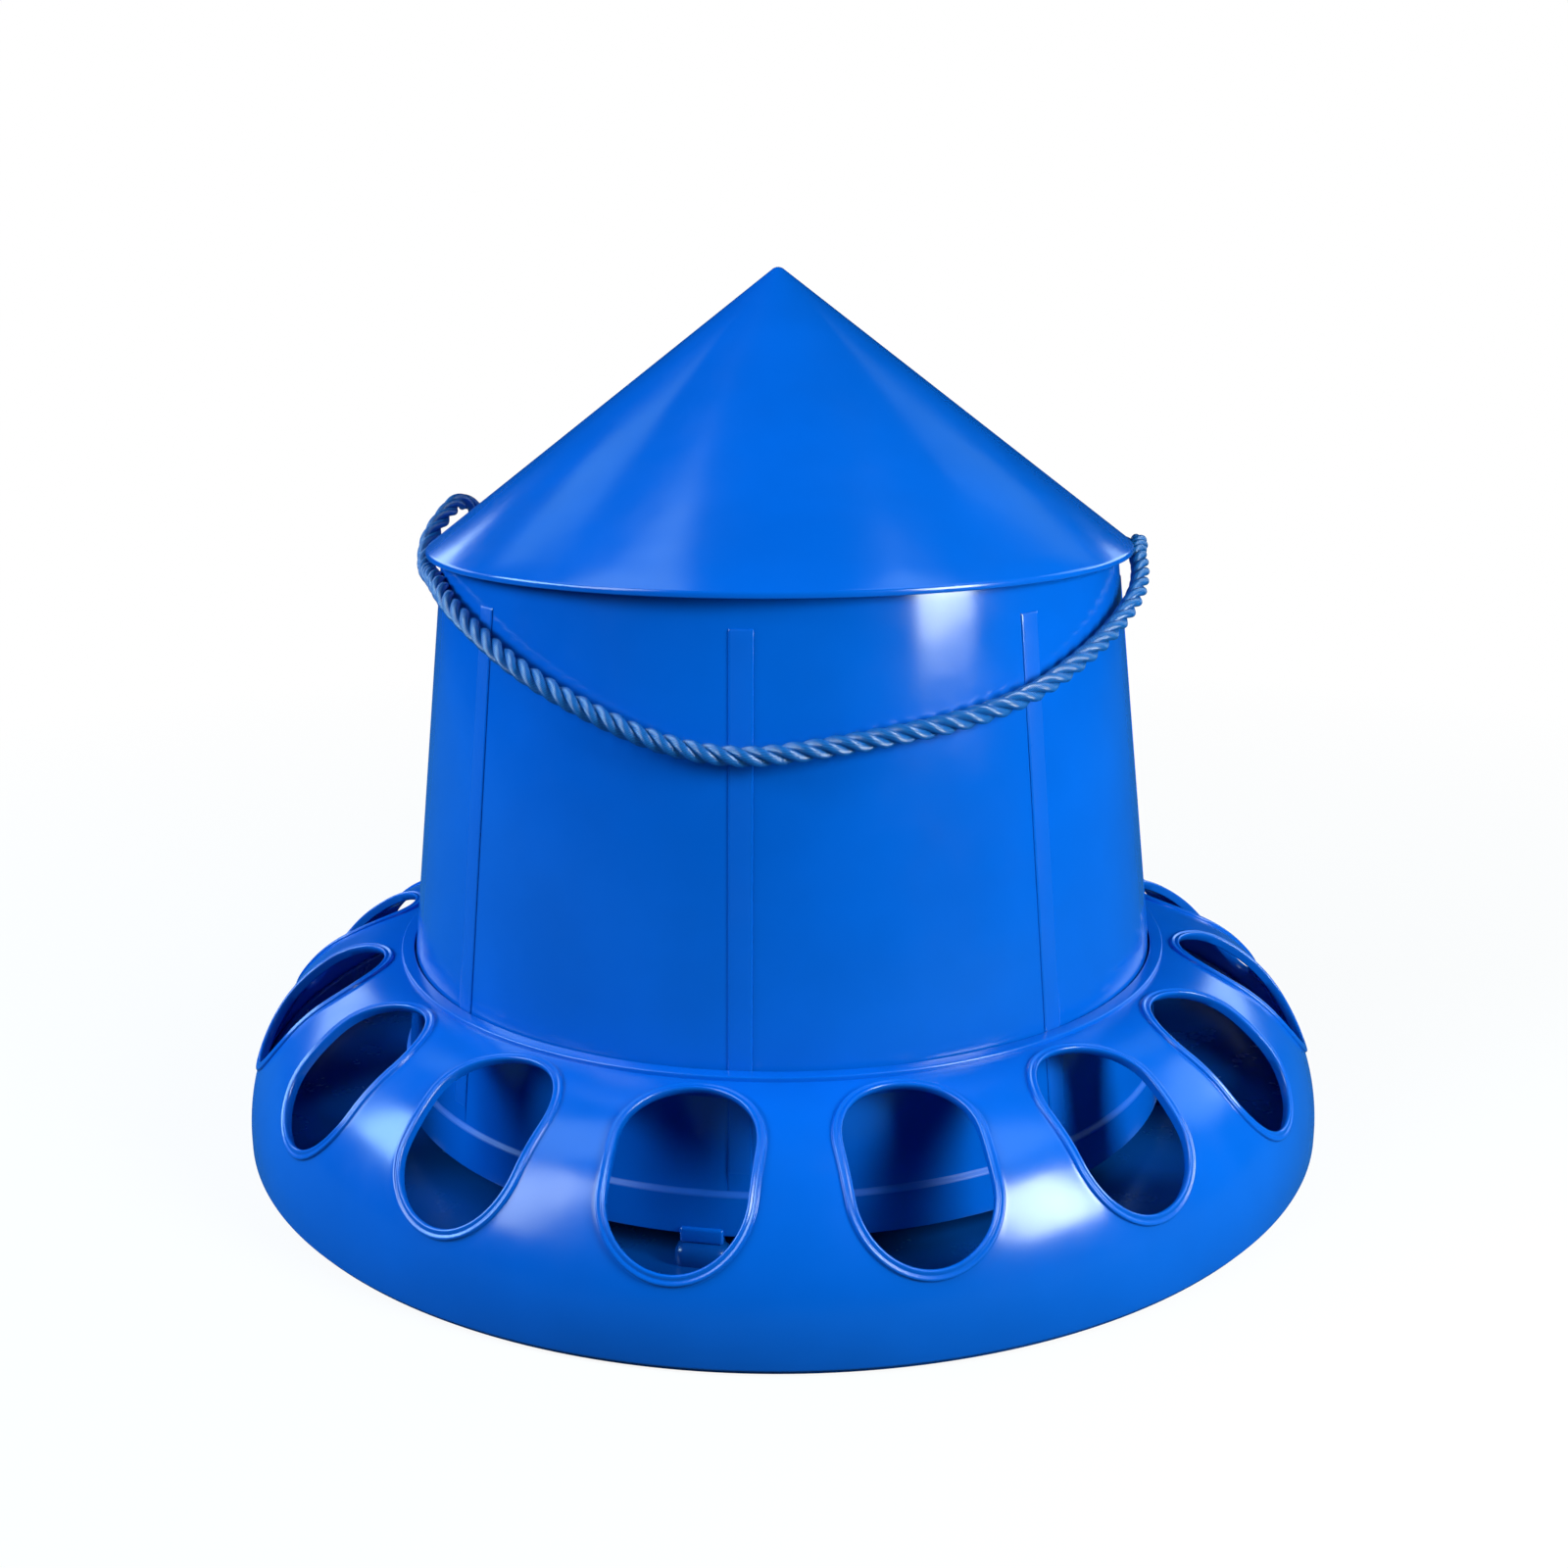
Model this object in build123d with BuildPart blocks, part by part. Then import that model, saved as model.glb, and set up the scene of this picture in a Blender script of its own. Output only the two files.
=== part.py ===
import os
from math import acos, asin, atan2, cos, degrees, pi, radians, sin, tan

from build123d import *

# Poultry feeder: a cone lid on a tube that holds the feed, over a pan with a domed ring of openings.
# Millimetres, Z up. The origin is on the floor, on the axis. The front is -Y.
# An azimuth is turned from the front towards +X.

# Driving dimensions of the ring that the birds feed through
TROUGH_WIDTH = 59.0
RING_WALL = 2.5
DOME_RADIUS = 61.5
DOME_MID_HEIGHT = 5.3
LIP_WIDTH = 5.0
LIP_PROUD = 1.6
COLLAR_DEPTH = 8.4
COLLAR_WALL = 2.2
OPENINGS = 16
OPENING_LENGTH = 60.8
OPENING_WIDTH = 43.5
OPENING_TILT = 37.1
BEAD_WIDTH = 3.0
BEAD_HEIGHT = 1.0

# Driving dimensions of the hopper
HOPPER_TOP = 222.5
HOPPER_FOOT = 12.5
HOPPER_TOP_RADIUS = 126.0
HOPPER_FOOT_RADIUS = 151.0
HOPPER_WALL = 2.2
FOOT_BAND_WIDTH = 13.5
FOOT_BAND_PROUD = 1.2
STRIPS = 8
STRIP_WIDTH = 8.0
STRIP_PROUD = 0.5
STRIP_DROP = 13.5
HOPPER_TURN = -7.1
LUGS = 4
LUG_WIDTH = 14.6
LUG_ROOT = 2.5
LUG_REACH = 3.0
LUG_PROUD = 2.0
LUG_TURN = -4.7

# Driving dimensions of the lid
LID_OVERHANG = 6.0
LID_SKIRT = 3.5
LID_EDGE = 2.0
LID_HEIGHT = 102.0
LID_TIP_RADIUS = 3.5
LID_WALL = 2.0
LID_SPIGOT_WALL = 1.8
LID_SPIGOT_DEPTH = 5.0

# Driving dimensions of the pan
PAN_WALL = 2.2
PAN_FLOOR = 2.5
PAN_HEIGHT = 22.0
FLANGE_THICKNESS = 1.5
FLANGE_REACH = 1.0
SPREADER_RADIUS = 96.0
SPREADER_HEIGHT = 46.0
SPREADER_TOP_RADIUS = 14.0
PAD_WIDTH = 18.0
PAD_DEPTH = 11.0

# Driving dimensions of the rope handle
ROPE_DIAMETER = 7.0
ROPE_HOLE = 7.8
ROPE_DROP = 13.5
ROPE_HOLE_ANGLE = 117.0
KNOT_DIAMETER = 15.0
KNOT_LENGTH = 13.0
KNOT_EDGE = 5.0
ROPE_EXIT_RUN = 7.0
ROPE_ARC_SHARE = 0.45

# Clearances
RING_CLEARANCE = 0.2
PAN_CLEARANCE = 0.3
LID_CLEARANCE = 1.2
KNOT_GAP = 0.5

# Places that follow from the driving dimensions
RING_RADIUS = HOPPER_FOOT_RADIUS + TROUGH_WIDTH
LIP_HEIGHT = DOME_MID_HEIGHT + DOME_RADIUS + LIP_PROUD
COLLAR_FOOT = LIP_HEIGHT - COLLAR_DEPTH
FOOT_BAND_TOP = HOPPER_FOOT + FOOT_BAND_WIDTH
STRIP_TOP = HOPPER_TOP - STRIP_DROP
LUG_TOP = HOPPER_FOOT + LUG_ROOT
LUG_FOOT = HOPPER_FOOT - LUG_REACH
LID_RADIUS = HOPPER_TOP_RADIUS + LID_OVERHANG
LID_FOOT = HOPPER_TOP - LID_SKIRT
LID_PEAK = LID_FOOT + LID_HEIGHT
LID_SPIGOT_RADIUS = HOPPER_TOP_RADIUS - HOPPER_WALL - LID_CLEARANCE
ROPE_HEIGHT = HOPPER_TOP - ROPE_DROP

# The hopper is a straight cone, so its radius at any height follows from its two ends.
HOPPER_SLOPE = (HOPPER_FOOT_RADIUS - HOPPER_TOP_RADIUS) / (HOPPER_TOP - HOPPER_FOOT)


def hopper_radius(height):
    return HOPPER_TOP_RADIUS + HOPPER_SLOPE * (HOPPER_TOP - height)


def turned(azimuth):
    """The angle about Z, from +X, of an azimuth counted from the front."""
    return azimuth - 90.0


os.makedirs("parts", exist_ok=True)

# Lid: a thin cone with a rounded tip and a thicker edge. Underneath, a low step sits on the hopper's
# rim and a short spigot keeps the lid over it.
LID_SLOPE = atan2(LID_PEAK - LID_FOOT - LID_EDGE, LID_RADIUS)
LID_DROP = LID_WALL / cos(LID_SLOPE)
SPIGOT_INNER_RADIUS = LID_SPIGOT_RADIUS - LID_SPIGOT_WALL
SPIGOT_FOOT = HOPPER_TOP - LID_SPIGOT_DEPTH
TIP_CENTRE = LID_PEAK - LID_TIP_RADIUS / cos(LID_SLOPE)


def lid_underside(radius):
    return LID_PEAK - LID_DROP - radius * tan(LID_SLOPE)


with BuildPart() as lid:
    with BuildSketch(Plane.XZ):
        with BuildLine():
            tip = CenterArc((0, TIP_CENTRE), LID_TIP_RADIUS, 90, -degrees(LID_SLOPE))
            Polyline(
                tip @ 1,
                (LID_RADIUS, LID_FOOT + LID_EDGE),
                (LID_RADIUS, LID_FOOT),
                (LID_RADIUS - LID_EDGE, LID_FOOT),
                (LID_RADIUS - LID_EDGE, lid_underside(LID_RADIUS - LID_EDGE)),
                (HOPPER_TOP_RADIUS, lid_underside(HOPPER_TOP_RADIUS)),
                (HOPPER_TOP_RADIUS, HOPPER_TOP),
                (LID_SPIGOT_RADIUS, HOPPER_TOP),
                (LID_SPIGOT_RADIUS, SPIGOT_FOOT),
                (SPIGOT_INNER_RADIUS, SPIGOT_FOOT),
                (SPIGOT_INNER_RADIUS, lid_underside(SPIGOT_INNER_RADIUS)),
                (0, lid_underside(0)),
                tip @ 0,
            )
        make_face()
    revolve(axis=Axis.Z)
lid.part.label = "lid"
export_step(lid.part, "parts/lid.step")


# Hopper: an open cone with a thicker band at its foot, flat upright strips, lugs to stand on and two
# holes for the rope. Each repeated feature is made once on the +X side and copied round the axis.
LUG_INNER_RADIUS = hopper_radius(HOPPER_FOOT) - HOPPER_WALL
LUG_OUTER_RADIUS = hopper_radius(HOPPER_FOOT) + LUG_PROUD
LUG_EDGE = 1.2
STRIP_ROOT = 0.5

with BuildPart() as strip:
    with BuildSketch(Plane.XZ):
        with BuildLine():
            Polyline(
                (hopper_radius(FOOT_BAND_TOP) - STRIP_ROOT, FOOT_BAND_TOP),
                (hopper_radius(FOOT_BAND_TOP) + STRIP_PROUD, FOOT_BAND_TOP),
                (hopper_radius(STRIP_TOP) + STRIP_PROUD, STRIP_TOP),
                (hopper_radius(STRIP_TOP) - STRIP_ROOT, STRIP_TOP),
                close=True,
            )
        make_face()
    revolve(axis=Axis.Z)
    with BuildSketch(Plane.YZ):
        Rectangle(STRIP_WIDTH, 2 * HOPPER_TOP)
    extrude(amount=RING_RADIUS, mode=Mode.INTERSECT)

with BuildPart() as lug:
    with BuildSketch(Plane.XY.offset(LUG_FOOT)):
        with Locations(((LUG_INNER_RADIUS + LUG_OUTER_RADIUS) / 2, 0)):
            Rectangle(LUG_OUTER_RADIUS - LUG_INNER_RADIUS, LUG_WIDTH)
    extrude(amount=LUG_TOP - LUG_FOOT)
    fillet(lug.faces().sort_by(Axis.X)[-1].edges(), radius=LUG_EDGE)

with BuildPart() as hopper:
    with BuildSketch(Plane.XZ):
        with BuildLine():
            Polyline(
                (hopper_radius(HOPPER_TOP) - HOPPER_WALL, HOPPER_TOP),
                (hopper_radius(HOPPER_TOP), HOPPER_TOP),
                (hopper_radius(FOOT_BAND_TOP + FOOT_BAND_PROUD), FOOT_BAND_TOP + FOOT_BAND_PROUD),
                (hopper_radius(FOOT_BAND_TOP) + FOOT_BAND_PROUD, FOOT_BAND_TOP),
                (hopper_radius(HOPPER_FOOT) + FOOT_BAND_PROUD, HOPPER_FOOT),
                (hopper_radius(HOPPER_FOOT) - HOPPER_WALL, HOPPER_FOOT),
                close=True,
            )
        make_face()
    revolve(axis=Axis.Z)
    with PolarLocations(0, STRIPS, start_angle=turned(HOPPER_TURN)):
        add(strip)
    with PolarLocations(0, LUGS, start_angle=turned(HOPPER_TURN + LUG_TURN)):
        add(lug)
    for side in (-1, 1):
        azimuth = radians(turned(HOPPER_TURN + side * ROPE_HOLE_ANGLE))
        with BuildSketch(Plane((0, 0, ROPE_HEIGHT), z_dir=(cos(azimuth), sin(azimuth), 0))):
            Circle(ROPE_HOLE / 2)
        extrude(amount=RING_RADIUS, mode=Mode.SUBTRACT)
hopper.part.label = "hopper"
export_step(hopper.part, "parts/hopper.step")


# Feeding ring: a dome of even thickness, a quarter circle in section, with a collar and a raised lip
# round the hopper. Each opening is a slot square to the dome, with a raised bead round it.
DOME_MID_RADIUS = RING_RADIUS - DOME_RADIUS
DOME_MID = (DOME_MID_RADIUS, DOME_MID_HEIGHT)
LIP_EDGE = 0.6
FOOT_EDGE = 1.0
BEAD_ROOT = 0.5
CUT_RISE = 6.0
CUT_DEPTH = 22.0


def hole_radius(height):
    return hopper_radius(height) + STRIP_PROUD + RING_CLEARANCE


LIP_RADIUS = hole_radius(LIP_HEIGHT) + LIP_WIDTH
COLLAR_RADIUS = hole_radius(COLLAR_FOOT) + COLLAR_WALL
LIP_ANGLE = degrees(acos((LIP_RADIUS - DOME_MID_RADIUS) / DOME_RADIUS))
COLLAR_ANGLE = degrees(acos((COLLAR_RADIUS - DOME_MID_RADIUS) / (DOME_RADIUS - RING_WALL)))

TILT = radians(OPENING_TILT)
OPENING_PLANE = Plane(
    (DOME_MID_RADIUS + DOME_RADIUS * sin(TILT), 0, DOME_MID_HEIGHT + DOME_RADIUS * cos(TILT)),
    x_dir=(cos(TILT), 0, -sin(TILT)),
    z_dir=(sin(TILT), 0, cos(TILT)),
)

with BuildPart() as opening:
    with BuildSketch(OPENING_PLANE.offset(CUT_RISE)):
        SlotOverall(OPENING_LENGTH, OPENING_WIDTH)
    extrude(amount=-CUT_DEPTH)

with BuildPart() as bead:
    with BuildSketch(Plane.XZ):
        with BuildLine():
            top = CenterArc(DOME_MID, DOME_RADIUS + BEAD_HEIGHT, 0, LIP_ANGLE)
            root = CenterArc(DOME_MID, DOME_RADIUS - BEAD_ROOT, 0, LIP_ANGLE)
            Line(top @ 0, root @ 0)
            Line(top @ 1, root @ 1)
        make_face()
    revolve(axis=Axis.Z)
    with BuildSketch(OPENING_PLANE.offset(CUT_RISE)):
        SlotOverall(OPENING_LENGTH + 2 * BEAD_WIDTH, OPENING_WIDTH + 2 * BEAD_WIDTH)
    extrude(amount=-CUT_DEPTH, mode=Mode.INTERSECT)

with BuildPart() as ring:
    with BuildSketch(Plane.XZ) as ring_section:
        with BuildLine():
            outside = CenterArc(DOME_MID, DOME_RADIUS, 0, LIP_ANGLE)
            inside = CenterArc(DOME_MID, DOME_RADIUS - RING_WALL, 0, COLLAR_ANGLE)
            Polyline(
                outside @ 1,
                (LIP_RADIUS, LIP_HEIGHT),
                (hole_radius(LIP_HEIGHT), LIP_HEIGHT),
                (hole_radius(COLLAR_FOOT), COLLAR_FOOT),
                (COLLAR_RADIUS, COLLAR_FOOT),
                inside @ 1,
            )
            Polyline(
                inside @ 0,
                (RING_RADIUS - RING_WALL, FLANGE_THICKNESS),
                (RING_RADIUS, FLANGE_THICKNESS),
                outside @ 0,
            )
        make_face()
        fillet(ring_section.vertices().group_by(Axis.Y)[-1], radius=LIP_EDGE)
        fillet(ring_section.vertices().sort_by(Axis.X)[-2:].sort_by(Axis.Y)[0], radius=FOOT_EDGE)
    revolve(axis=Axis.Z)
    with PolarLocations(0, OPENINGS, start_angle=turned(180 / OPENINGS)):
        add(bead)
        add(opening, mode=Mode.SUBTRACT)
ring.part.label = "feeding_ring"
export_step(ring.part, "parts/feeding_ring.step")


# Pan: a flat floor with a wall just inside the ring, a thin flange that the ring stands on, a hollow
# cone in the middle that spreads the feed, and a pad under each lug of the hopper.
PAN_WALL_RADIUS = DOME_RADIUS - RING_WALL - PAN_CLEARANCE
PAN_RISE = PAN_HEIGHT - DOME_MID_HEIGHT
PAN_RIM_EDGE = 0.7
PAD_RADIUS = (LUG_INNER_RADIUS + LUG_OUTER_RADIUS) / 2
FLANGE_RADIUS = RING_RADIUS - RING_WALL + FLANGE_REACH

with BuildPart() as pan:
    with BuildSketch(Plane.XZ) as pan_section:
        with BuildLine():
            outer = CenterArc(DOME_MID, PAN_WALL_RADIUS, 0, degrees(asin(PAN_RISE / PAN_WALL_RADIUS)))
            inner_radius = PAN_WALL_RADIUS - PAN_WALL
            inner = CenterArc(DOME_MID, inner_radius, 0, degrees(asin(PAN_RISE / inner_radius)))
            Line(outer @ 1, inner @ 1)
            Polyline(
                inner @ 0,
                (DOME_MID_RADIUS + inner_radius, PAN_FLOOR),
                (SPREADER_RADIUS, PAN_FLOOR),
                (SPREADER_TOP_RADIUS, SPREADER_HEIGHT),
                (0, SPREADER_HEIGHT),
                (0, SPREADER_HEIGHT - PAN_FLOOR),
                (SPREADER_TOP_RADIUS, SPREADER_HEIGHT - PAN_FLOOR),
                (SPREADER_RADIUS, 0),
                (FLANGE_RADIUS, 0),
                (FLANGE_RADIUS, FLANGE_THICKNESS),
                (DOME_MID_RADIUS + PAN_WALL_RADIUS, FLANGE_THICKNESS),
                outer @ 0,
            )
        make_face()
        pan_rim = [corner for corner in pan_section.vertices() if abs(corner.Y - PAN_HEIGHT) < PAN_RIM_EDGE]
        fillet(pan_rim, radius=PAN_RIM_EDGE)
    revolve(axis=Axis.Z)
    with PolarLocations(PAD_RADIUS, LUGS, start_angle=turned(HOPPER_TURN + LUG_TURN)):
        Box(
            PAD_DEPTH,
            PAD_WIDTH,
            LUG_FOOT,
            align=(Align.CENTER, Align.CENTER, Align.MIN),
        )
pan.part.label = "pan"
export_step(pan.part, "parts/pan.step")


# Rope handle: it leaves the hopper through a hole at the back left, goes round under the lid's edge,
# sags across the front on the hopper's wall and goes back in at the back right. A knot inside the
# hopper holds each end.
KNOT_FACE_RADIUS = hopper_radius(ROPE_HEIGHT) - HOPPER_WALL - KNOT_GAP
EXIT_RADIUS = hopper_radius(ROPE_HEIGHT) + ROPE_EXIT_RUN


def hole_direction(side):
    azimuth = radians(turned(HOPPER_TURN + side * ROPE_HOLE_ANGLE))
    return Vector(cos(azimuth), sin(azimuth), 0)


def knot_face(side):
    return hole_direction(side) * KNOT_FACE_RADIUS + Vector(0, 0, ROPE_HEIGHT)


def rope_exit(side):
    return hole_direction(side) * EXIT_RADIUS + Vector(0, 0, ROPE_HEIGHT)


ROPE_POINTS = [
    knot_face(-1),
    rope_exit(-1),
    (-119, 80, 215),
    (-124.5, 79, 224.5),
    (-130.5, 72, 230.5),
    (-135.5, 61, 231),
    (-133, 48.5, 227),
    (-136.5, 35.5, 224.5),
    (-138, 23.5, 217.5),
    (-135.5, 12, 210.5),
    (-134.5, -0.5, 208.5),
    (-131.5, -16, 211),
    (-126, -39, 215),
    (-113.5, -72, 206.5),
    (-81.5, -111, 188),
    (-29, -137, 168.5),
    (18, -137.5, 174),
    (70, -119.5, 180.5),
    (103.5, -87.5, 193.5),
    (127, -50.5, 206),
    (135, -21, 212.5),
    (137, -2.5, 214.5),
    (142.5, 11, 215),
    (147.5, 25.5, 216.5),
    (143, 37, 215),
    (136.5, 43.5, 210.8),
    rope_exit(1),
    knot_face(1),
]


def arc_radii(points):
    """The radius at each inner point, so that its arc takes a set share of the shorter run beside it."""
    places = [Vector(point) for point in points]
    radii = []
    for before, here, after in zip(places, places[1:], places[2:]):
        half_turn = radians((here - before).get_angle(after - here)) / 2
        shorter_run = min((here - before).length, (after - here).length)
        radii.append(ROPE_ARC_SHARE * shorter_run / tan(half_turn))
    return radii


ROPE_RADII = arc_radii(ROPE_POINTS)

with BuildPart() as rope:
    with BuildLine() as rope_route:
        FilletPolyline(*ROPE_POINTS, radius=ROPE_RADII)
    route = rope_route.wires()[0]
    with BuildSketch(Plane(route @ 0, z_dir=route % 0)):
        Circle(ROPE_DIAMETER / 2)
    sweep(path=route)
rope.part.label = "rope_handle"
export_step(rope.part, "parts/rope_handle.step")

for side, name in ((-1, "knot_left"), (1, "knot_right")):
    with BuildPart() as knot:
        with BuildSketch(Plane(knot_face(side), z_dir=-hole_direction(side))):
            Circle(KNOT_DIAMETER / 2)
        extrude(amount=KNOT_LENGTH)
        fillet(knot.edges().filter_by(GeomType.CIRCLE), radius=KNOT_EDGE)
    knot.part.label = name
    export_step(knot.part, f"parts/{name}.step")

print("arc radii of the rope:", [round(radius, 1) for radius in ROPE_RADII])
print("length of the rope:", round(route.length, 1))
ROPE_SECTION = pi * ROPE_DIAMETER**2 / 4
print("volume over section times length:", round(rope.part.volume / (ROPE_SECTION * route.length), 3))
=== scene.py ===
from math import acos, atan2, cos, exp, pi, radians, sin, tan

import bpy
import bmesh
from mathutils import Matrix, Vector


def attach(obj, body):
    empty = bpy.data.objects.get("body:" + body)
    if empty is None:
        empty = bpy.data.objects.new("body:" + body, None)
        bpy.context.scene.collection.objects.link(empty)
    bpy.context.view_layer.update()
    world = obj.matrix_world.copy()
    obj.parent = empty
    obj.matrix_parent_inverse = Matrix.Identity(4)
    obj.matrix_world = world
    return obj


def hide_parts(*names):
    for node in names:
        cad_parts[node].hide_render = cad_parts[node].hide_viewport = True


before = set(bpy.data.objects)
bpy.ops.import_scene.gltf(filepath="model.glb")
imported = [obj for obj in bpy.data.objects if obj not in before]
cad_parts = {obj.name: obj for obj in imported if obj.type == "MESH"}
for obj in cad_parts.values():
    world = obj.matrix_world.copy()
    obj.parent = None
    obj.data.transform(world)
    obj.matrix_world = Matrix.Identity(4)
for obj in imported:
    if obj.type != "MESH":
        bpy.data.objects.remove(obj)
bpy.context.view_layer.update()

MM = 0.001

# The camera
# The camera's place and lens come from the perspective of the sixteen openings in the photograph.
CAMERA_AZIMUTH = radians(-1.62)
CAMERA_DISTANCE = 0.6522
CAMERA_HEIGHT = 0.3014
CAMERA_PITCH = 0.2646
CAMERA_ROLL = -0.0059
FOCAL_PIXELS = 1747.4
IMAGE_PIXELS = 1600
SENSOR = 36.0

camera_data = bpy.data.cameras.new("camera")
camera_data.sensor_width = SENSOR
camera_data.lens = FOCAL_PIXELS / IMAGE_PIXELS * SENSOR
camera_data.shift_x = 2.96 / IMAGE_PIXELS
camera = bpy.data.objects.new("camera", camera_data)
bpy.context.scene.collection.objects.link(camera)
camera.matrix_world = (
    Matrix.Translation((
        CAMERA_DISTANCE * sin(CAMERA_AZIMUTH),
        -CAMERA_DISTANCE * cos(CAMERA_AZIMUTH),
        CAMERA_HEIGHT,
    ))
    @ Matrix.Rotation(CAMERA_AZIMUTH, 4, "Z")
    @ Matrix.Rotation(pi / 2 - CAMERA_PITCH, 4, "X")
    @ Matrix.Rotation(CAMERA_ROLL, 4, "Z")
)
bpy.context.scene.camera = camera

# Sizes, as in the part's source
RING_RADIUS = 210.0
RING_WALL = 2.5
DOME_RADIUS = 61.5
DOME_MID_HEIGHT = 5.3
DOME_MID_RADIUS = RING_RADIUS - DOME_RADIUS
LIP_WIDTH = 5.0
LIP_HEIGHT = 68.4
COLLAR_FOOT = 60.0
COLLAR_WALL = 2.2
OPENINGS = 16
OPENING_LENGTH = 60.8
OPENING_WIDTH = 43.5
OPENING_TILT = radians(37.1)
BEAD_WIDTH = 3.0
BEAD_HEIGHT = 1.0

HOPPER_TOP = 222.5
HOPPER_FOOT = 12.5
HOPPER_TOP_RADIUS = 126.0
HOPPER_FOOT_RADIUS = 151.0
HOPPER_WALL = 2.2
FOOT_BAND_TOP = 26.0
FOOT_BAND_PROUD = 1.2
STRIPS = 8
STRIP_WIDTH = 8.0
STRIP_PROUD = 0.5
STRIP_TOP = 209.0
STRIP_EDGE = [(0.0, 0.0), (0.12, 0.6), (0.35, 0.88), (0.8, 1.0)]  # inset from the edge, share of its height
HOPPER_TURN = -7.1
LUGS = 4
LUG_WIDTH = 14.6
LUG_TOP = 15.0
LUG_FOOT = 9.5
LUG_PROUD = 2.0
LUG_TURN = -4.7
HOPPER_SLOPE = (HOPPER_FOOT_RADIUS - HOPPER_TOP_RADIUS) / (HOPPER_TOP - HOPPER_FOOT)

LID_RADIUS = 132.0
LID_FOOT = 219.0
LID_EDGE = 2.0
LID_PEAK = 321.0
LID_TIP_RADIUS = 3.5
LID_WALL = 2.0
LID_SPIGOT_RADIUS = 122.6
LID_SPIGOT_WALL = 1.8
LID_SPIGOT_DEPTH = 5.0
LID_SLOPE = atan2(LID_PEAK - LID_FOOT - LID_EDGE, LID_RADIUS)

PAN_WALL = 2.2
PAN_FLOOR = 2.5
PAN_HEIGHT = 22.0
FLANGE_THICKNESS = 1.5
FLANGE_REACH = 1.0
SPREADER_RADIUS = 96.0
SPREADER_HEIGHT = 46.0
SPREADER_TOP_RADIUS = 14.0
PAD_WIDTH = 18.0
PAD_DEPTH = 11.0

RING_CLEARANCE = 0.2
PAN_CLEARANCE = 0.3
ROPE_HOLE = 7.8
ROPE_HEIGHT = 209.0
ROPE_HOLE_ANGLE = 117.0
KNOT_GAP = 0.5


def hopper_radius(height):
    return HOPPER_TOP_RADIUS + HOPPER_SLOPE * (HOPPER_TOP - height)


def turned(azimuth):
    """The angle about Z, from +X, of an azimuth counted in degrees from the front."""
    return radians(azimuth - 90.0)


# Mesh helpers
def rounded(corners, steps=4):
    """A profile of (radius, height) points from corners given as (radius, height, rounding)."""
    points = []
    last = len(corners) - 1
    for i, (x, z, size) in enumerate(corners):
        here = Vector((x, z))
        if size <= 0 or i in (0, last):
            points.append(here)
            continue
        before = Vector(corners[i - 1][:2]) - here
        after = Vector(corners[i + 1][:2]) - here
        reach = min(size, 0.45 * before.length, 0.45 * after.length)
        start, end = here + before.normalized() * reach, here + after.normalized() * reach
        for k in range(steps + 1):
            t = k / steps
            points.append(start * (1 - t) ** 2 + here * (2 * t * (1 - t)) + end * t ** 2)
    return [(p.x, p.y) for p in points]


def split_runs(profile, longest):
    """The same profile with its long runs divided, so that quads stay even."""
    points = [profile[0]]
    for (x0, z0), (x1, z1) in zip(profile, profile[1:]):
        length = ((x1 - x0) ** 2 + (z1 - z0) ** 2) ** 0.5
        count = max(1, int(length / longest) + 1)
        for k in range(1, count + 1):
            t = k / count
            points.append((x0 + (x1 - x0) * t, z0 + (z1 - z0) * t))
    return points


def mesh_object(name, verts, faces, smooth_angle=32, materials=(), marks=None):
    """A mesh from points in millimetres. The marks, if any, give each face the number of its material."""
    mesh = bpy.data.meshes.new(name)
    mesh.from_pydata([(x * MM, y * MM, z * MM) for x, y, z in verts], [], faces)
    for material in materials:
        mesh.materials.append(material)
    if marks:
        mesh.polygons.foreach_set("material_index", marks)
    finish_mesh(mesh, smooth_angle)
    obj = bpy.data.objects.new(name, mesh)
    bpy.context.scene.collection.objects.link(obj)
    return obj


def finish_mesh(mesh, smooth_angle):
    work = bmesh.new()
    work.from_mesh(mesh)
    bmesh.ops.remove_doubles(work, verts=work.verts, dist=0.002 * MM)
    bmesh.ops.recalc_face_normals(work, faces=work.faces)
    work.to_mesh(mesh)
    work.free()
    mesh.polygons.foreach_set("use_smooth", [True] * len(mesh.polygons))
    mesh.set_sharp_from_angle(angle=radians(smooth_angle))
    mesh.update()


def revolve(name, profile, count, closed=False, smooth_angle=32):
    """A surface of revolution. Points on the axis become one vertex each."""
    verts, faces, rows = [], [], []
    for x, z in profile:
        if x < 1e-6:
            rows.append([len(verts)] * count)
            verts.append((0, 0, z))
            continue
        rows.append(list(range(len(verts), len(verts) + count)))
        verts += [(x * cos(2 * pi * k / count), x * sin(2 * pi * k / count), z) for k in range(count)]
    pairs = list(zip(rows, rows[1:]))
    if closed:
        pairs.append((rows[-1], rows[0]))
    for a, b in pairs:
        for k in range(count):
            n = (k + 1) % count
            face = []
            for v in (a[k], a[n], b[n], b[k]):
                if v not in face:
                    face.append(v)
            if len(face) > 2:
                faces.append(face)
    return mesh_object(name, verts, faces, smooth_angle)


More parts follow.
